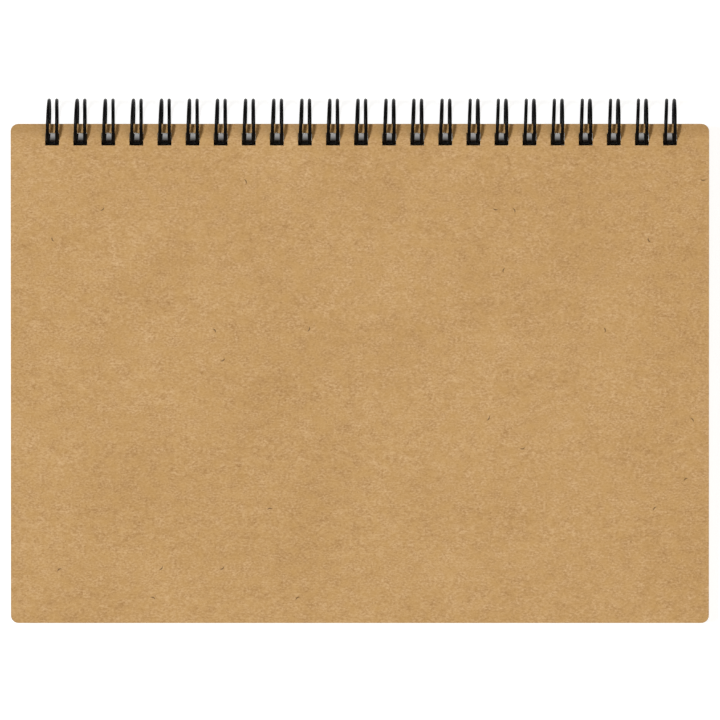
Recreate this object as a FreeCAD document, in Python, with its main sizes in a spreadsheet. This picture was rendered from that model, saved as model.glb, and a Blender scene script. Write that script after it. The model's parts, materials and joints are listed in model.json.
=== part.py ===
"""Landscape sketchbook bound along its long edge with a twin-loop wire.

Two kraft board covers and a block of drawing sheets hang on one continuous wire, bent into
twenty-three double loops.  Every leaf has one square hole to each loop.  The wire closes on
itself in a seam just under the front cover: the closed tip of each loop comes down through
its hole in the cover and meets the base bars, which run between the loops.

Millimetres.  X runs along the binding, +Y points from the fore edge to the binding, +Z is up.
The origin is on the table, under the middle of the closed book.  The loops are thicker than
the book, so it lies on them and on the fore edge of its back cover, at a slight slope.
"""

import FreeCAD, Part
import math
import os

import Sketcher
from FreeCAD import Placement, Rotation, Vector

# Driving dimensions: alias, value, what it measures
DIMENSIONS = [
    ("cover_width", 210.6, "cover, along the binding"),
    ("cover_depth", 150.6, "cover, from punched edge to fore edge"),
    ("cover_board", 1.0, "thickness of a cover's kraft board"),
    ("corner_radius", 2.3, "rounded corners of covers and sheets"),
    ("sheet_inset", 1.0, "how far a sheet stops short of the covers on three sides"),
    ("sheet_count", 24, "sheets of drawing paper"),
    ("sheet_paper", 0.19, "thickness of a sheet"),
    ("sheet_spacing", 0.2, "from one sheet to the next, with the air between them"),
    ("hole_width", 4.15, "punched hole, along the binding"),
    ("hole_depth", 3.75, "punched hole, across the binding"),
    ("hole_margin", 2.75, "from a leaf's edge to its holes"),
    ("punched_strip", 8.0, "strip along the back cover's edge that the wire passes under"),
    ("loop_count", 23, "double loops of the wire"),
    ("loop_pitch", 25.4 / 3, "from one double loop to the next, three to the inch"),
    ("wire_diameter", 1.05, "coated wire"),
    ("ring_radius", 6.6, "loop, to the middle of the wire"),
    ("row_offset", 0.35, "row of loops and holes, off the middle of the leaves"),
    ("leaf_setback", 0.8, "from the loops' axis to the punched edges"),
    ("waist_half", 1.26, "from a double loop's middle to each leg, beside the axis"),
    ("splay_angle", 1.03, "degrees by which each leg opens towards the leaves"),
    ("rise_angle", 0.88, "degrees by which each leg opens upwards"),
    ("bend_radius", 0.8, "corners of the tips and base bars, to the middle of the wire"),
    ("tip_angle", 43.7, "degrees round the ring where a leg runs straight to its tip"),
    ("tip_straight", 2.58, "straight end of a leg, to the tip's corner"),
    ("base_angle", 8.0, "degrees round the ring where a leg runs straight to its base bar"),
    ("base_straight", 0.95, "straight end of a leg, to the base bar's corner"),
    ("block_bottom", 4.75, "from the loops' axis down to the back cover's outer face"),
    ("seam_gap", 0.1, "air between the front cover and the base bars"),
    ("rest_gap", 0.05, "air between the front cover and the top sheet's fore edge"),
]


def dimension_sheet(doc):
    """The spreadsheet that every sub-part takes its sizes from."""
    cells = doc.addObject("Spreadsheet::Sheet", "dimensions")
    for row, (alias, value, meaning) in enumerate(DIMENSIONS, start=1):
        cells.set(f"A{row}", alias)
        cells.set(f"B{row}", str(value))
        cells.setAlias(f"B{row}", alias)
        cells.set(f"C{row}", meaning)
    doc.recompute()
    return cells


class Layout:
    """Where the leaves and the wire lie, worked out from the dimensions."""

    def __init__(self, cells):
        for alias, _, _ in DIMENSIONS:
            setattr(self, alias, getattr(cells, alias))
        self.outer_radius = self.ring_radius + self.wire_diameter / 2
        self.fore_edge = self.leaf_setback + self.cover_depth
        self.first_loop_x = self.row_offset - self.loop_pitch * (self.loop_count - 1) / 2
        # The closed block leans back until its lower fore edge meets the table.
        reach = math.hypot(self.fore_edge, self.block_bottom)
        self.lean = math.asin(self.outer_radius / reach) - math.atan(self.block_bottom / self.fore_edge)
        self.sheets_bottom = self.cover_board - self.block_bottom
        air = self.sheet_spacing - self.sheet_paper
        self.sheets_top = self.sheets_bottom + self.sheet_count * self.sheet_spacing + air
        # The front cover lies on the base bars and on the top sheet's fore edge.
        base = math.radians(self.base_angle)
        self.seam_s = self.ring_radius * math.cos(base) - self.base_straight * math.sin(base)
        self.seam_z = self.ring_radius * math.sin(base) + self.base_straight * math.cos(base)
        at_seam = self.seam_z + self.wire_diameter / 2 + self.seam_gap
        at_fore_edge = self.sheets_top + self.rest_gap
        sheet_end = self.fore_edge - self.sheet_inset
        self.cover_lean = math.atan((at_seam - at_fore_edge) / (sheet_end - self.seam_s))
        self.front_height = math.cos(self.cover_lean) * (at_seam + self.seam_s * math.tan(self.cover_lean))
        # The middle of the whole book's box is over the origin.
        lean = self.lean + self.cover_lean
        top = self.front_height + self.cover_board
        reach_y = self.fore_edge * math.cos(lean) + top * math.sin(lean)
        self.axis = Vector(0, (reach_y - self.outer_radius) / 2, self.outer_radius)

    def leaf_place(self, height, lean):
        """Placement of a leaf whose under face is at that height over the loops' axis."""
        swing = Placement(self.axis, Rotation(Vector(1, 0, 0), math.degrees(lean)))
        return swing * Placement(Vector(0, 0, height), Rotation())


def origin_feature(body, role):
    """One of the body's own origin planes or axes."""
    return next(f for f in body.Origin.OriginFeatures if f.Role == role)


def rectangle_sketch(body, name, width, depth, near_edge, middle_x=None):
    """Sketch of a rectangle below the X axis: its upper side is near_edge under the axis.

    The sizes are expressions on the dimension sheet.  It is centred on the Y axis, or on the
    line X = middle_x.
    """
    sketch = body.newObject("Sketcher::SketchObject", name)
    sketch.AttachmentSupport = [(origin_feature(body, "XY_Plane"), "")]
    sketch.MapMode = "FlatFace"
    corners = [Vector(-2, -1, 0), Vector(2, -1, 0), Vector(2, -3, 0), Vector(-2, -3, 0)]
    for n in range(4):
        sketch.addGeometry(Part.LineSegment(corners[n], corners[(n + 1) % 4]), False)
    for n in range(4):
        sketch.addConstraint(Sketcher.Constraint("Coincident", n, 2, (n + 1) % 4, 1))
    for n in (0, 2):
        sketch.addConstraint(Sketcher.Constraint("Horizontal", n))
    for n in (1, 3):
        sketch.addConstraint(Sketcher.Constraint("Vertical", n))
    left = f"({width}) / 2"
    if middle_x is not None:
        left = f"({width}) / 2 - ({middle_x})"
    sizes = [
        ("width", Sketcher.Constraint("DistanceX", 0, 1, 0, 2, 4.0), width),
        ("depth", Sketcher.Constraint("DistanceY", 1, 2, 1, 1, 2.0), depth),
        ("near_edge", Sketcher.Constraint("DistanceY", 0, 1, -1, 1, 1.0), near_edge),
        ("left_reach", Sketcher.Constraint("DistanceX", 0, 1, -1, 1, 2.0), left),
    ]
    for label, constraint, _ in sizes:
        number = sketch.addConstraint(constraint)
        sketch.renameConstraint(number, label)
    for label, _, expression in sizes:
        sketch.setExpression(f"Constraints.{label}", expression)
    return sketch


def board_pad(body, label, width, depth, near_edge, thickness):
    """A rectangular board of the leaf's thickness, its under face at Z = 0."""
    blank = rectangle_sketch(body, label + "_blank", width, depth, near_edge)
    pad = body.newObject("PartDesign::Pad", label + "_board")
    pad.Profile = blank
    pad.Refine = False
    pad.setExpression("Length", thickness)
    return pad


def punched_leaf(doc, label, width, depth, thickness, strip=None):
    """A rounded rectangular leaf with a row of square holes; its under face is at Z = 0.

    With a strip depth, the punched strip and the rest of the board keep separate faces, so
    the clear part of the board can be used as a seat.
    """
    body = doc.addObject("PartDesign::Body", label)
    body.Label = label
    edge = "dimensions.leaf_setback"
    if strip:
        board_pad(body, label + "_strip", width, strip, edge, thickness)
        pad = board_pad(body, label, width, f"{depth} - {strip}", f"{edge} + {strip}", thickness)
    else:
        pad = board_pad(body, label, width, depth, edge, thickness)
    doc.recompute()
    box = pad.Shape.BoundBox
    rounding = body.newObject("PartDesign::Fillet", label + "_corners")
    rounding.Base = (pad, [
        f"Edge{n}"
        for n, side in enumerate(pad.Shape.Edges, start=1)
        if side.BoundBox.ZLength > box.ZLength / 2 and (
            min(abs(side.CenterOfMass.y - y) for y in (box.YMin, box.YMax)) < 0.01
        )
    ])
    rounding.Refine = False
    rounding.setExpression("Radius", "dimensions.corner_radius")
    doc.recompute()
    whole = rounding.Shape.Volume
    hole = rectangle_sketch(
        body,
        label + "_first_hole",
        "dimensions.hole_width",
        "dimensions.hole_depth",
        "dimensions.leaf_setback + dimensions.hole_margin",
        "dimensions.row_offset - dimensions.loop_pitch * (dimensions.loop_count - 1) / 2",
    )
    punch = body.newObject("PartDesign::Pocket", label + "_punch")
    punch.Profile = hole
    punch.Type = "ThroughAll"
    punch.Reversed = True
    punch.Refine = False
    row = body.newObject("PartDesign::LinearPattern", label + "_hole_row")
    row.Originals = [punch]
    row.Direction = (origin_feature(body, "X_Axis"), [""])
    row.Refine = False
    row.setExpression("Length", "dimensions.loop_pitch * (dimensions.loop_count - 1)")
    row.setExpression("Occurrences", "dimensions.loop_count")
    body.Tip = row
    doc.recompute()
    cells = doc.dimensions
    punched = cells.loop_count * cells.hole_width * cells.hole_depth * box.ZLength
    if abs(whole - row.Shape.Volume - punched) > 0.01 * punched:
        raise RuntimeError(f"{label}: the holes took {whole - row.Shape.Volume}, not {punched}")
    return body


def covers(doc, lay):
    """The front and back covers, cut and punched alike from kraft board."""
    sizes = ("dimensions.cover_width", "dimensions.cover_depth", "dimensions.cover_board")
    back = punched_leaf(doc, "back_cover", *sizes, strip="dimensions.punched_strip")
    back.Placement = lay.leaf_place(-lay.block_bottom, lay.lean)
    front = punched_leaf(doc, "front_cover", *sizes)
    front.Placement = lay.leaf_place(lay.front_height, lay.lean + lay.cover_lean)
    return [back, front]


def sheets(doc, lay):
    """The drawing sheets, numbered from the top."""
    leaves = []
    for n in range(1, int(lay.sheet_count) + 1):
        leaf = punched_leaf(
            doc,
            f"sheet_{n:02d}",
            "dimensions.cover_width - 2 * dimensions.sheet_inset",
            "dimensions.cover_depth - dimensions.sheet_inset",
            "dimensions.sheet_paper",
        )
        leaf.Placement = lay.leaf_place(lay.sheets_top - n * lay.sheet_spacing, lay.lean)
        leaves.append(leaf)
    return leaves


class Leg:
    """One leg of a double loop: a flat ring, nearly upright, turned by the splay and the rise."""

    def __init__(self, lay, middle_x, side):
        self.radius = lay.ring_radius
        self.centre = Vector(middle_x + side * lay.waist_half, 0, 0)
        splay = Rotation(Vector(0, 0, 1), side * lay.splay_angle)
        rise = Rotation(Vector(0, 1, 0), side * lay.rise_angle)
        self.across = (splay * rise).multVec(Vector(0, 1, 0))
        self.upward = (splay * rise).multVec(Vector(0, 0, 1))

    def point(self, angle):
        """The point that many degrees round: 0 faces the leaves, 90 is up, 180 is the spine."""
        a = math.radians(angle)
        return self.centre + self.radius * (math.sin(a) * self.upward - math.cos(a) * self.across)

    def along(self, angle):
        """The direction of travel there, for a growing angle."""
        a = math.radians(angle)
        return math.sin(a) * self.across + math.cos(a) * self.upward

    def ring(self, start, end):
        """The arcs from one angle to another."""
        pieces = 4
        step = (end - start) / pieces
        stops = [start + n * step for n in range(pieces)]
        return [
            Part.Arc(self.point(a), self.point(a + step / 2), self.point(a + step)).toShape()
            for a in stops
        ]


def rounded_corner(before, corner, after, radius):
    """(start, arc, end) of the arc that rounds a corner between two points of the path."""
    back = (before - corner).normalize()
    ahead = (after - corner).normalize()
    half = back.getAngle(ahead) / 2
    start = corner + back * (radius / math.tan(half))
    end = corner + ahead * (radius / math.tan(half))
    middle = (back + ahead).normalize()
    centre = corner + middle * (radius / math.sin(half))
    return start, Part.Arc(start, centre - middle * radius, end).toShape(), end


def loop_path(lay):
    """The middle line of one double loop, from the middle of one base bar to the next.

    It is centred on X = 0, and the loops' axis runs along X through the origin.
    """
    left, right = Leg(lay, 0, -1), Leg(lay, 0, 1)
    base_end = 360 + lay.base_angle
    left_tip, right_tip = (
        leg.point(lay.tip_angle) - leg.along(lay.tip_angle) * lay.tip_straight
        for leg in (left, right)
    )
    left_base, right_base = (
        leg.point(base_end) + leg.along(base_end) * lay.base_straight
        for leg in (left, right)
    )
    first = Vector(-lay.loop_pitch / 2, left_base.y, left_base.z)
    last = Vector(lay.loop_pitch / 2, right_base.y, right_base.z)
    left_start, left_end = left.point(lay.tip_angle), left.point(base_end)
    right_start, right_end = right.point(lay.tip_angle), right.point(base_end)
    corners = [
        rounded_corner(first, left_base, left_end, lay.bend_radius),
        rounded_corner(left_start, left_tip, right_tip, lay.bend_radius),
        rounded_corner(left_tip, right_tip, right_start, lay.bend_radius),
        rounded_corner(right_end, right_base, last, lay.bend_radius),
    ]
    (a, arc_a, b), (c, arc_c, d), (e, arc_e, f), (g, arc_g, i) = corners
    edges = [straight(first, a), arc_a, straight(b, left_end)]
    edges += left.ring(base_end, lay.tip_angle)
    edges += [straight(left_start, c), arc_c, straight(d, e), arc_e, straight(f, right_start)]
    edges += right.ring(lay.tip_angle, base_end)
    edges += [straight(right_end, g), arc_g, straight(i, last)]
    return Part.Wire(edges)


def straight(start, end):
    """A straight piece of the path."""
    return Part.LineSegment(start, end).toShape()


def binding_wire(doc, lay):
    """The twin-loop wire: a round section swept along one double loop, then repeated.

    The lengths meet end to end in the middles of the base bars.
    """
    line = loop_path(lay)
    path = doc.addObject("Part::Feature", "loop_line")
    path.Shape = line
    section = doc.addObject("Part::Circle", "wire_section")
    section.setExpression("Radius", "dimensions.wire_diameter / 2")
    first = line.Edges[0]
    facing = Rotation(Vector(0, 0, 1), Vector(1, 0, 0))
    section.Placement = Placement(first.valueAt(first.FirstParameter), facing)
    loop = doc.addObject("Part::Sweep", "double_loop")
    loop.Sections = [section]
    loop.Spine = (path, [])
    loop.Solid = True
    loop.Frenet = False
    doc.recompute()
    expected = line.Length * math.pi * lay.wire_diameter**2 / 4
    if abs(loop.Shape.Volume - expected) > 0.01 * expected:
        raise RuntimeError(f"a loop's volume is {loop.Shape.Volume}, not {expected}")
    row = []
    for n in range(int(lay.loop_count)):
        link = doc.addObject("App::Link", f"double_loop_{n + 1:02d}")
        link.LinkedObject = loop
        link.Placement = Placement(Vector(lay.first_loop_x + n * lay.loop_pitch, 0, 0), Rotation())
        row.append(link)
    wire = doc.addObject("Part::Compound", "binding_wire")
    wire.Label = "binding_wire"
    wire.Links = row
    wire.Placement = Placement(lay.axis, Rotation(Vector(1, 0, 0), math.degrees(lay.lean)))
    doc.recompute()
    return wire


def check(doc, parts):
    """Stops the build if an object failed or a sub-part isn't sound."""
    for item in doc.Objects:
        if "Invalid" in item.State or "Error" in item.State:
            raise RuntimeError(f"{item.Label} failed: {item.State}")
    for item in parts:
        if item.Shape.isNull() or not item.Shape.isValid():
            raise RuntimeError(f"{item.Label} has no valid shape")


def main():
    doc = FreeCAD.newDocument("sketchbook")
    lay = Layout(dimension_sheet(doc))
    parts = covers(doc, lay) + sheets(doc, lay) + [binding_wire(doc, lay)]
    doc.recompute()
    check(doc, parts)
    os.makedirs("parts", exist_ok=True)
    for item in parts:
        item.Shape.exportStep(os.path.join("parts", item.Label + ".step"))
    lean = math.degrees(lay.lean)
    cover_lean = math.degrees(lay.cover_lean)
    print(f"axis {lay.axis}, lean {lean:.4f}, cover lean {cover_lean:.4f}, height {lay.front_height:.4f}")


main()
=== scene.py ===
import json
import math

import bpy
import numpy as np
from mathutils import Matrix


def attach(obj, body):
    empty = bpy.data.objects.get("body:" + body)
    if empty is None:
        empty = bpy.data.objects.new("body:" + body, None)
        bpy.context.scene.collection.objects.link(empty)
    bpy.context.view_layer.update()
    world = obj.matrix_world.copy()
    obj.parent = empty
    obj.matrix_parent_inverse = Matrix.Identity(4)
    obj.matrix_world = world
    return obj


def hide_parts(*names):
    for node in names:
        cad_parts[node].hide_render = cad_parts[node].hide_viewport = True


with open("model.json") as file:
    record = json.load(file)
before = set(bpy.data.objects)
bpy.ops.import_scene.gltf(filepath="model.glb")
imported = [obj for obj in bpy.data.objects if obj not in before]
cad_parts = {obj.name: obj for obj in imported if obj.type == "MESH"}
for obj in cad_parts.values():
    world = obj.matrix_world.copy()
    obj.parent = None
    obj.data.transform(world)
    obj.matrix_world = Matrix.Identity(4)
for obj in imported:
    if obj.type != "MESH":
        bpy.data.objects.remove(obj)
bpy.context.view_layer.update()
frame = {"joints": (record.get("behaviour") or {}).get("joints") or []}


# ---- Back cover ----------------------------------------------------------------------------
# A die-cut piece of solid kraft board with rounded corners and a row of square holes along one
# long edge.  It hangs on the wire through them, and the book lies on it.  All sizes are in
# millimetres, apart from the lamps' and the camera's.

cover_width, cover_depth, board = 210.6, 150.6, 1.0
corner_radius = 2.3
board_ease = 0.12
loop_count = 23
pitch = 25.4 / 3
row_offset = 0.35
hole_middles = row_offset + pitch * (np.arange(loop_count) - (loop_count - 1) / 2)
hole_width, hole_depth = 4.15, 3.75
hole_margin = 2.75
leaf_setback = 0.8
back_height = -4.75
hinge = next(joint for joint in frame["joints"] if joint["name"] == "front_cover_turn")
loops_axis = np.array(hinge["pos_m"])

# The closed block leans back until its lower fore edge meets the table.
fore_edge = leaf_setback + cover_depth
axis_over_table = loops_axis[2] * 1000
block_lean = math.asin(axis_over_table / math.hypot(fore_edge, back_height))
block_lean -= math.atan(-back_height / fore_edge)


def swung(points, lean):
    """Millimetres about the loops' axis, turned about it by the lean, as metres in the book.

    y' = y cos - z sin and z' = y sin + z cos, and then the axis' own place is added.
    """
    x, y, z = np.moveaxis(points, -1, 0)
    cos, sin = math.cos(lean), math.sin(lean)
    turned = np.stack([x, y * cos - z * sin, y * sin + z * cos], -1)
    return turned * 0.001 + loops_axis


def surface(name, points, faces, smooth_to=50):
    """A mesh object from an array of corners and a list of faces.

    It is smooth wherever it bends by less than smooth_to degrees.
    """
    mesh = bpy.data.meshes.new(name)
    mesh.from_pydata(points.reshape(-1, 3), [], faces)
    mesh.shade_smooth()
    mesh.set_sharp_from_angle(angle=math.radians(smooth_to))
    piece = bpy.data.objects.new(name, mesh)
    bpy.context.scene.collection.objects.link(piece)
    return piece


def leaf_lines(width, depth, ease):
    """The columns and rows of a leaf's grid, closest at its edges, its corners and its holes.

    A corner's rows lie at r (1 - cos a), with a in even steps, so they are even round its arc.
    """
    eased = np.array([0, 0.3, 1, 1.5]) * ease
    arc = corner_radius * (1 - np.cos(np.linspace(0, math.pi / 2, 10)))
    by_hole = np.concatenate([hole_margin - eased, hole_margin + hole_depth + eased])
    plain = np.linspace(9, depth - 4, 16)
    rows = np.concatenate([eased, arc, by_hole, plain, depth - arc, depth - eased])
    beside = hole_width / 2 + eased
    beside_holes = (hole_middles[:, None] + np.concatenate([beside, -beside])).ravel()
    sides = width / 2 - np.concatenate([eased, [0.5, 1.1, 1.9, 2.9, 4.0, 6.5]])
    columns = np.concatenate([beside_holes, sides, -sides])
    return np.unique(columns.round(3)), np.unique(rows.round(3))


def leaf_faces(solid, up, down):
    """Quads of both faces over the solid cells, and of a wall wherever the next cell is cut away."""
    i, j = np.nonzero(solid)
    quads = [
        np.stack([up[i, j + 1], up[i + 1, j + 1], up[i + 1, j], up[i, j]], 1),
        np.stack([down[i, j], down[i + 1, j], down[i + 1, j + 1], down[i, j + 1]], 1),
    ]
    ringed = np.pad(solid, 1)
    wide, deep = solid.shape
    # The way to the next cell, and the two corners of this cell that the wall between them joins.
    for (di, dj), near_corner, far_corner in (
        ((0, -1), (1, 0), (0, 0)),
        ((0, 1), (0, 1), (1, 1)),
        ((-1, 0), (0, 0), (0, 1)),
        ((1, 0), (1, 1), (1, 0)),
    ):
        beyond = ringed[1 + di : 1 + di + wide, 1 + dj : 1 + dj + deep]
        i, j = np.nonzero(solid & ~beyond)
        near = (i + near_corner[0], j + near_corner[1])
        far = (i + far_corner[0], j + far_corner[1])
        quads.append(np.stack([down[near], down[far], up[far], up[near]], 1))
    return np.concatenate(quads).tolist()


def punched_leaf(name, width, depth, thickness, ease, height, lean, shift=(0.0, 0.0)):
    """A rounded, punched leaf: two faces on one grid, joined by walls round its outline and holes.

    A column's distance from the middle shrinks in the end rows by r - sqrt(r^2 - (r - d)^2),
    which rounds the corners; columns further in shrink less, and those past pull_reach don't.
    Near any cut edge both faces fall away in a quarter round, e - sqrt(e^2 - (e - d)^2), where d
    is the distance from the edge and e the ease.
    """
    columns, rows = leaf_lines(width, depth, ease)
    x, s = np.meshgrid(columns, rows, indexing="ij")
    half = width / 2
    pull_reach = 4
    from_end = np.minimum(np.minimum(s, depth - s), corner_radius)
    pull = corner_radius - np.sqrt(corner_radius**2 - (corner_radius - from_end) ** 2)
    inset = half - np.abs(x)
    x = np.sign(x) * (np.abs(x) - np.clip(1 - inset / pull_reach, 0, 1) * pull)

    across = np.abs(x) - (half - corner_radius)
    along = np.abs(s - depth / 2) - (depth / 2 - corner_radius)
    in_corner = (across > 0) & (along > 0)
    to_outline = corner_radius - np.where(in_corner, np.hypot(across, along), np.maximum(across, along))
    beyond_x = np.abs(x[..., None] - hole_middles).min(-1) - hole_width / 2
    beyond_s = np.abs(s - hole_margin - hole_depth / 2) - hole_depth / 2
    to_hole = np.hypot(np.maximum(beyond_x, 0), np.maximum(beyond_s, 0))
    from_edge = np.clip(np.minimum(to_outline, to_hole), 0, ease)
    fall = ease - np.sqrt(ease**2 - (ease - from_edge) ** 2)
    y = -leaf_setback - s + shift[1]
    upper = np.stack([x + shift[0], y, height + thickness - fall], -1)
    lower = np.stack([x + shift[0], y, height + fall], -1)
    points = swung(np.stack([upper, lower]), lean)

    middle_x = (columns[1:] + columns[:-1]) / 2
    middle_s = (rows[1:] + rows[:-1]) / 2
    in_x = np.abs(middle_x[:, None] - hole_middles).min(-1) < hole_width / 2
    in_s = np.abs(middle_s - hole_margin - hole_depth / 2) < hole_depth / 2
    up, down = np.arange(points.size // 3).reshape(points.shape[:-1])
    return surface(name, points, leaf_faces(~(in_x[:, None] & in_s[None]), up, down))


def step(tree, kind, settings=None, **inputs):
    """One node of a finish.  An input is a number, a colour or the output that feeds it.

    It goes by its name, with _ for a space, or by its place: i0 is the node's first.
    """
    made = tree.nodes.new("ShaderNode" + kind)
    for key, value in (settings or {}).items():
        setattr(made, key, value)
    for key, value in inputs.items():
        by_place = key[0] == "i" and key[1:].isdigit()
        socket = made.inputs[int(key[1:]) if by_place else key.replace("_", " ")]
        if isinstance(value, bpy.types.NodeSocket):
            tree.links.new(value, socket)
        else:
            socket.default_value = value
    return made


def math_step(tree, operation, *inputs):
    """The output of one step of arithmetic on numbers."""
    numbered = {f"i{n}": value for n, value in enumerate(inputs)}
    return step(tree, "Math", {"operation": operation}, **numbered).outputs[0]


def place_step(tree, operation, place, by):
    """The output of one step of arithmetic on a place."""
    return step(tree, "VectorMath", {"operation": operation}, i0=place, i1=by).outputs[0]


def blank_finish(name, roughness):
    """A material with its surface shader, and the place on the piece in millimetres."""
    material = bpy.data.materials.new(name)
    material.use_nodes = True
    tree = material.node_tree
    shader = tree.nodes["Principled BSDF"]
    shader.inputs["Roughness"].default_value = roughness
    place = place_step(tree, "MULTIPLY", step(tree, "TexCoord").outputs["Object"], (1000, 1000, 1000))
    return material, tree, shader, place


def speckle(tree, place, grain, detail=2.0, roughness=0.5, stretch=(1.0, 1.0, 1.0)):
    """Soft random variation about 0 whose patches are about grain millimetres across."""
    stretched = place_step(tree, "MULTIPLY", place, [s / grain for s in stretch])
    noise = step(tree, "TexNoise", Vector=stretched, Scale=1.0, Detail=detail, Roughness=roughness)
    return math_step(tree, "SUBTRACT", noise.outputs[0], 0.5)


def fibres(tree, place, cell, length, width, share):
    """Mask of short stray fibres, one to a cell at most, each at its own angle and slightly bent.

    A fibre is an ellipse about the cell's point, (u / length)^2 + (v / width)^2 < 1, with
    v bent by curl times u^2.  The mask fades out as that sum goes from 0.4 to 1.2.
    """
    curl = 1.6
    cells = place_step(tree, "MULTIPLY", place, (1 / cell, 1 / cell, 0))
    spread = step(tree, "TexVoronoi", {"voronoi_dimensions": "2D"}, Vector=cells, Scale=1.0, Randomness=1.0)
    away = place_step(tree, "SUBTRACT", cells, spread.outputs["Position"])
    chances = step(tree, "SeparateColor", i0=spread.outputs["Color"]).outputs
    angle = math_step(tree, "MULTIPLY", chances[0], math.tau)
    turned = step(tree, "VectorRotate", {"rotation_type": "Z_AXIS"}, Vector=away, Angle=angle).outputs[0]
    lengthwise, crosswise, _ = step(tree, "SeparateXYZ", i0=turned).outputs
    u = math_step(tree, "MULTIPLY", lengthwise, 2 * cell / length)
    u_squared = math_step(tree, "MULTIPLY", u, u)
    v = math_step(tree, "MULTIPLY", crosswise, 2 * cell / width)
    v = math_step(tree, "MULTIPLY_ADD", u_squared, curl, v)
    from_middle = math_step(tree, "MULTIPLY_ADD", v, v, u_squared)
    spot = step(tree, "MapRange", i0=from_middle, i1=0.4, i2=1.2, i3=1.0, i4=0.0).outputs[0]
    chosen = math_step(tree, "LESS_THAN", chances[1], share)
    return math_step(tree, "MULTIPLY", spot, chosen)


def tinted(tree, tone, colours):
    """Colour by tone, 0 to 1, through evenly spaced colours."""
    ramp = step(tree, "ValToRGB", Fac=tone)
    stops = ramp.color_ramp.elements
    for _ in colours[2:]:
        stops.new(0.5)
    for n, colour in enumerate(colours):
        stops[n].position = n / (len(colours) - 1)
        stops[n].color = (*colour, 1)
    return ramp.outputs[0]


def blended(tree, share, under, over):
    """One colour laid over another by a share from 0 to 1.  The under one is an output."""
    mix = step(tree, "Mix", {"data_type": "RGBA"}, i0=share, i6=under, i7=(*over, 1))
    return mix.outputs[2]


def weighted(tree, *pairs, start=0.5):
    """start plus the sum of each output times its weight."""
    total = start
    for output, weight in pairs:
        total = math_step(tree, "MULTIPLY_ADD", output, weight, total)
    return total


def kraft_board(name, offset):
    """Uncoated kraft board: mottled pulp with its grain along the binding, and stray fibres.

    It is a little darker along the punched edge: painted shade, where the rings overhead shade the
    board.  The offset picks another stretch of the same board, so that no two covers are alike.
    """
    material, tree, shader, place = blank_finish(name, 0.88)
    # Painted shade of the rings overhead: the board darkens smoothly over about four millimetres towards
    # its punched edge.
    edge_shade_start, edge_shade_full, edge_shade_share = 66.2, 70.2, 0.42
    up_the_page = step(tree, "SeparateXYZ", i0=place).outputs[1]
    smooth = {"interpolation_type": "SMOOTHSTEP"}
    rub_and_painted_shade = step(tree, "MapRange", smooth, i0=up_the_page, i1=edge_shade_start, i2=edge_shade_full, i3=0.0, i4=edge_shade_share)
    place = place_step(tree, "ADD", place, offset)
    cloud = speckle(tree, place, 24.0, 2.0)
    mottle = speckle(tree, place, 2.6, 3.0, 0.6, (0.6, 1.0, 1.0))
    grain = speckle(tree, place, 0.56, 3.0, 0.62, (0.7, 1.1, 1.0))
    tone = weighted(tree, (cloud, 0.36), (mottle, 0.48), (grain, 1.55))
    dark_pulp, pulp, pale_pulp = (0.272, 0.142, 0.044), (0.446, 0.277, 0.128), (0.622, 0.432, 0.240)
    colour = tinted(tree, tone, [dark_pulp, pulp, pale_pulp])
    yellowing = weighted(tree, (speckle(tree, place, 3.6, 2.0), 1.6), start=0.30)
    colour = blended(tree, yellowing, colour, (0.455, 0.280, 0.106))
    # The painted shade, laid over the board's colour near the punched edge.
    colour = blended(tree, rub_and_painted_shade.outputs[0], colour, (0.275, 0.155, 0.052))
    # Pale, brown and dark fibres: their cell, length, width, share of cells, strength and colour.
    for cell, length, width, share, strength, fibre_colour in (
        (3.1, 1.6, 0.16, 0.35, 0.20, (0.68, 0.46, 0.24)),
        (2.1, 0.8, 0.22, 0.35, 0.42, (0.21, 0.105, 0.035)),
        (9.0, 1.7, 0.40, 0.06, 0.70, (0.06, 0.032, 0.015)),
    ):
        mask = fibres(tree, place, cell, length, width, share)
        colour = blended(tree, math_step(tree, "MULTIPLY", mask, strength), colour, fibre_colour)
    tree.links.new(colour, shader.inputs["Base Color"])
    relief = weighted(tree, (mottle, 0.5), (grain, 1.0), start=0.0)
    bump = step(tree, "Bump", Height=relief, Strength=0.35, Distance=0.00004)
    tree.links.new(bump.outputs[0], shader.inputs["Normal"])
    shader.inputs["Specular IOR Level"].default_value = 0.25
    return material


back_cover = punched_leaf(
    "back_cover_board", cover_width, cover_depth, board, board_ease, back_height, block_lean
)
back_cover.data.materials.append(kraft_board("kraft_board_back", (400.0, 130.0, 0.0)))
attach(back_cover, "lower_block")
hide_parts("back_cover")


# ---- Sheets --------------------------------------------------------------------------------
# Two dozen loose sheets of uncoated drawing paper, each punched like the covers and a little
# smaller than they are.  They are knocked up by hand before punching, so no two edges line up.

sheet_inset = 1.0
sheet_width, sheet_depth = cover_width - 2 * sheet_inset, cover_depth - sheet_inset
sheet_count, sheets_that_turn = 24, 12
paper, paper_ease = 0.19, 0.04
sheet_spacing = 0.2
leaf_air = sheet_spacing - paper
block_foot = back_height + board + leaf_air


def drawing_paper(name, offset):
    """Uncoated cartridge paper: warm white, faintly toothed, with a cloudy look-through.

    The offset picks another stretch of the same paper.
    """
    material, tree, shader, place = blank_finish(name, 0.93)
    place = place_step(tree, "ADD", place, offset)
    cloud = speckle(tree, place, 6.0, 3.0)
    tooth = speckle(tree, place, 0.45, 3.0, 0.6)
    tone = weighted(tree, (cloud, 0.5), (tooth, 0.6))
    colour = tinted(tree, tone, [(0.64, 0.63, 0.60), (0.735, 0.725, 0.70), (0.79, 0.785, 0.765)])
    tree.links.new(colour, shader.inputs["Base Color"])
    bump = step(tree, "Bump", Height=tooth, Strength=0.3, Distance=0.00003)
    tree.links.new(bump.outputs[0], shader.inputs["Normal"])
    shader.inputs["Specular IOR Level"].default_value = 0.2
    return material


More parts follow.
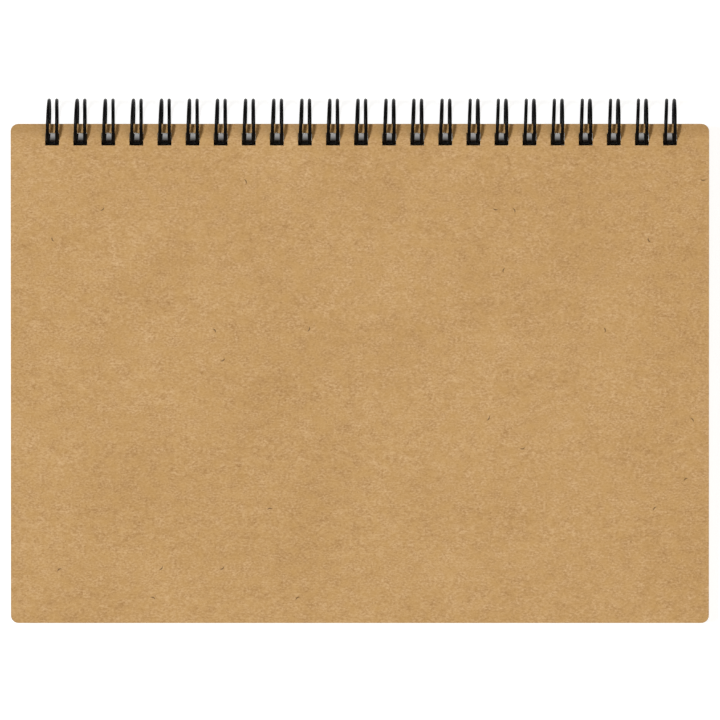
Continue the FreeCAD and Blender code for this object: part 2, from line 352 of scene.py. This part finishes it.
chance = np.random.default_rng(24)
jogged = chance.uniform(-1, 1, (sheet_count, 2)) * (0.08, 0.10)
papers = [drawing_paper(f"drawing_paper_{n + 1}", (n * 61.0, n * 37.0, 0.0)) for n in range(3)]
for n in range(1, sheet_count + 1):
    height = block_foot + (sheet_count - n) * sheet_spacing
    name = f"sheet_paper_{n:02d}"
    jog = jogged[n - 1]
    sheet = punched_leaf(name, sheet_width, sheet_depth, paper, paper_ease, height, block_lean, jog)
    sheet.data.materials.append(papers[n % len(papers)])
    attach(sheet, "first_sheet" if n == 1 else "upper_leaves" if n <= sheets_that_turn else "lower_block")
    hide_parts(f"sheet_{n:02d}")


# ---- Binding wire --------------------------------------------------------------------------
# Steel wire in a glossy black nylon coat, bent into twenty-three double loops and closed round
# the leaves.  Each loop's tip comes down through its hole to meet the base bars that join the
# loops; that seam lies under the front cover.

wire_radius = 1.05 / 2
ring_radius = 6.6
waist_half, splay, rise = 1.26, math.radians(1.03), math.radians(0.88)
bend = 0.8
tip_angle, tip_straight = 43.7, 2.58
base_angle, base_straight = 368.0, 0.95
bend_points, run_points, ring_points = 7, 2, 50
spine_lean, spine_pull = 0.2, 0.17


def half_loop():
    """The middle line of a loop's left half, from a base bar's middle to the tip's middle.

    Each point is leg + R (-cos a across + sin a up) + t along + u x: a is the angle round the
    ring, t a straight run past the ring's end, and u a step along the binding.  A bend's run
    and step are sin and 1 - cos of 0 to 90 degrees, times its radius.  Returns the points, the
    outward directions and how free each point is to sway, 3 f^2 - 2 f^3, where f goes from 0 at
    the base bar to 1 when a is free_after degrees round the ring.
    """
    turn = np.linspace(0, math.pi / 2, bend_points)
    out, aside = np.sin(turn), 1 - np.cos(turn)
    end_points = bend_points + run_points
    angle = np.concatenate([
        np.full(end_points, base_angle),
        np.linspace(base_angle, tip_angle, ring_points),
        np.full(end_points, tip_angle),
    ])
    run = np.concatenate([
        np.full(run_points, base_straight),
        (base_straight - bend + bend * out)[::-1],
        np.zeros(ring_points),
        -(tip_straight - bend + bend * out),
        np.full(run_points, -tip_straight),
    ])
    side = np.concatenate([
        np.zeros(run_points),
        (-bend * aside)[::-1],
        np.zeros(ring_points),
        bend * aside,
        np.zeros(run_points),
    ])
    across = np.array([math.sin(splay), math.cos(splay), 0.0])
    up = np.array([-math.sin(rise) * math.cos(splay), math.sin(rise) * math.sin(splay), math.cos(rise)])
    round_ring = np.radians(angle)[:, None]
    outward = np.sin(round_ring) * up - np.cos(round_ring) * across
    along = np.sin(round_ring) * across + np.cos(round_ring) * up
    points = ring_radius * outward + run[:, None] * along
    points[:, 0] += side - waist_half
    points[0, 0] = -pitch / 2
    points[1, 0] = (points[0, 0] + points[2, 0]) / 2
    points[-1, 0] = 0
    points[-2, 0] = points[-3, 0] / 2
    free_after = 40
    free = np.clip((base_angle - angle) / free_after, 0, 1)
    return points, outward, free * free * (3 - 2 * free)


def tube(name, line, outward, radius, around=14):
    """A round section carried along a line: p + r (cos f m + sin f (t x m)).

    t is the line's direction and m the outward direction made square to it.  The last point
    at each end draws in to a flat cap.
    """
    way = np.gradient(line, axis=0)
    way /= np.linalg.norm(way, axis=1, keepdims=True)
    square = outward - (outward * way).sum(1, keepdims=True) * way
    square /= np.linalg.norm(square, axis=1, keepdims=True)
    other = np.cross(way, square)
    turn = np.linspace(0, math.tau, around, endpoint=False)[None, :, None]
    rim = np.cos(turn) * square[:, None] + np.sin(turn) * other[:, None]
    rings = line[:, None] + radius * rim
    cap_radius = 0.75 * radius
    first_cap, last_cap = (line[end] + cap_radius * rim[end] for end in (0, -1))
    rings = np.concatenate([first_cap[None], rings, last_cap[None]])
    number = np.arange(len(rings) * around).reshape(-1, around)
    after = np.roll(number, -1, 1)
    sides = np.stack([number[:-1], after[:-1], after[1:], number[1:]], -1).reshape(-1, 4)
    caps = [number[0][::-1].tolist(), number[-1].tolist()]
    return surface(name, swung(rings, block_lean), sides.tolist() + caps, smooth_to=60)


def coated_wire(name):
    """Black nylon melted on to the wire: glossy, with faint runs and dulled high spots."""
    gloss = 0.36
    material, tree, shader, place = blank_finish(name, gloss)
    shader.inputs["Specular IOR Level"].default_value = 0.07
    runs = speckle(tree, place, 1.4, 2.0)
    rub_and_painted_shade = speckle(tree, place, 0.35, 3.0, 0.6)
    tone = weighted(tree, (runs, 0.8), (rub_and_painted_shade, 0.5))
    colour = tinted(tree, tone, [(0.001, 0.001, 0.001), (0.0025, 0.0025, 0.003), (0.006, 0.006, 0.006)])
    tree.links.new(colour, shader.inputs["Base Color"])
    tree.links.new(weighted(tree, (runs, 0.15), (rub_and_painted_shade, 0.2), start=gloss), shader.inputs["Roughness"])
    bump = step(tree, "Bump", Height=runs, Strength=0.25, Distance=0.00003)
    tree.links.new(bump.outputs[0], shader.inputs["Normal"])
    return material


# The right half of a loop mirrors the left.  Each loop then sways a little on its base bars, and
# all lean the same way at their outer side.  Two loops share the point in the middle of a bar.
left, left_outward, left_free = half_loop()
mirror = np.array([-1.0, 1.0, 1.0])
one_loop = np.concatenate([left, (left * mirror)[-2::-1]])
one_outward = np.concatenate([left_outward, (left_outward * mirror)[-2::-1]])
one_free = np.concatenate([left_free, left_free[-2::-1]])
sway = chance.uniform(-1, 1, (loop_count, 2)) * (0.04, 0.05)
row = np.repeat(one_loop[None], loop_count, 0)
row[..., 0] += hole_middles[:, None]
row[..., 0] += one_free * (sway[:, :1] + sway[:, 1:] * one_loop[:, 2] / ring_radius)
from_tips = (row[..., 1] / ring_radius + 1) / 2
row[..., 0] += spine_lean * from_tips
row[..., 1] -= spine_pull * from_tips
keep = np.ones(row.shape[:2], bool)
keep[1:, 0] = False
row_outward = np.repeat(one_outward[None], loop_count, 0)
wire = tube("binding_wire_coated", row[keep], row_outward[keep], wire_radius)
wire.data.materials.append(coated_wire("coated_wire"))
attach(wire, "binding_wire")
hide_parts("binding_wire")


# ---- Front cover ---------------------------------------------------------------------------
# The same kraft board, cut and punched like the back.  Nothing is printed on it.  It lies on
# the wire's seam and on the top sheet's fore edge, so it slopes a little more than the sheets.

seam_gap, rest_gap = 0.1, 0.05
base = math.radians(base_angle)
seam_reach = ring_radius * math.cos(base) - base_straight * math.sin(base)
seam_height = ring_radius * math.sin(base) + base_straight * math.cos(base)
over_seam = seam_height + wire_radius + seam_gap
over_sheets = block_foot + sheet_count * sheet_spacing + rest_gap
slope = math.atan((over_seam - over_sheets) / (leaf_setback + sheet_depth - seam_reach))
front_height = math.cos(slope) * (over_seam + seam_reach * math.tan(slope))
front_lean = block_lean + slope
slip = (0.0, 0.1)
front_cover = punched_leaf(
    "front_cover_board", cover_width, cover_depth, board, board_ease, front_height, front_lean, slip
)
front_cover.data.materials.append(kraft_board("kraft_board_front", (0.0, 0.0, 0.0)))
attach(front_cover, "front_cover")
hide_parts("front_cover")


# ---- Table and studio ----------------------------------------------------------------------
# A wide white light table that glows faintly, one soft lamp on the left, a large weak one on
# the right and a pale room.  A card under the book glows only in patches under the holes, as
# painted light seen through them, fading out as painted shade towards the wire's tips.  None
# of it belongs to the book.

patch_half, patch_fade = 1.3, 1.5


def glowing_top(name, low, high, height, white, glow, dim_below=None):
    """A flat rectangle of matt white acrylic that glows faintly.

    With dim_below, only patches patch_half wide each side of the holes' middles glow, as painted
    light seen through the holes, and their glow fades to nothing over the patch_fade of depth
    below that line, as painted shade towards the wire's tips.
    """
    x = [low[0], high[0], high[0], low[0]]
    y = [low[1], low[1], high[1], high[1]]
    top = surface(name, np.stack([x, y, [height] * 4], -1) * 0.001, [(0, 1, 2, 3)])
    acrylic, tree, shader, place = blank_finish(name, 0.9)
    shader.inputs["Base Color"].default_value = (white, white, white, 1)
    shader.inputs["Specular IOR Level"].default_value = 0.1
    shader.inputs["Emission Color"].default_value = (1, 1, 1, 1)
    shader.inputs["Emission Strength"].default_value = glow
    if dim_below is not None:
        # Painted light: glow only in patches under the holes, fading out as painted shade towards the tips.
        across, up_the_page, _ = step(tree, "SeparateXYZ", i0=place).outputs
        fade_out = dim_below - patch_fade
        fade = step(tree, "MapRange", i0=up_the_page, i1=fade_out, i2=dim_below, i3=0.0, i4=glow)
        from_first = math_step(tree, "SUBTRACT", across, hole_middles[0])
        from_middle = math_step(tree, "PINGPONG", from_first, pitch / 2)
        near = math_step(tree, "LESS_THAN", from_middle, patch_half)
        patches = math_step(tree, "MULTIPLY", fade.outputs[0], near)
        tree.links.new(patches, shader.inputs["Emission Strength"])
    top.data.materials.append(acrylic)


glowing_top("light_table", (-5000, -5000), (5000, 5000), -0.3, 0.25, 0.88)
# The card under the book: its glow is painted light seen through the holes.
glowing_top("painted_light_under_book", (-104, -78), (104, 70.5), -0.2, 0.4, 0.30, dim_below=68.0)


def lamp(name, place, size, power, colour):
    """A square soft lamp at a place, in metres, aimed at the middle of the book."""
    light = bpy.data.lights.new(name, "AREA")
    light.shape = "SQUARE"
    light.size = size
    light.energy = power
    light.color = colour
    held = bpy.data.objects.new(name, light)
    bpy.context.scene.collection.objects.link(held)
    held.location = place
    back = np.array(place) / np.linalg.norm(place)
    held.rotation_euler = (0, math.acos(back[2]), math.atan2(back[1], back[0]))


lamp("key_lamp", (-1.6, 0.1, 3.4), 0.6, 122, (0.97, 0.99, 1.0))
lamp("fill_lamp", (1.0, -0.3, 1.9), 1.3, 13, (1.0, 0.88, 0.70))
room = bpy.data.worlds.new("pale_room")
room.use_nodes = True
background = room.node_tree.nodes["Background"]
background.inputs["Color"].default_value = (1, 0.85, 0.64, 1)
background.inputs["Strength"].default_value = 0.22
bpy.context.scene.world = room
bpy.context.scene.view_settings.view_transform = "Standard"


# ---- Camera --------------------------------------------------------------------------------
# Straight down over the middle of the book, with the binding at the top of the frame.  The lens
# is set so that the frame takes in seen_width at the height of the front cover's face.

camera_height, cover_face_height = 4.0, 0.0087
seen_width = 0.21716
camera = bpy.data.cameras.new("camera")
camera.sensor_width = 36
camera.lens = camera.sensor_width * (camera_height - cover_face_height) / seen_width
viewer = bpy.data.objects.new("camera", camera)
bpy.context.scene.collection.objects.link(viewer)
viewer.location = (0.00003, 0.00018, camera_height)
bpy.context.scene.camera = viewer
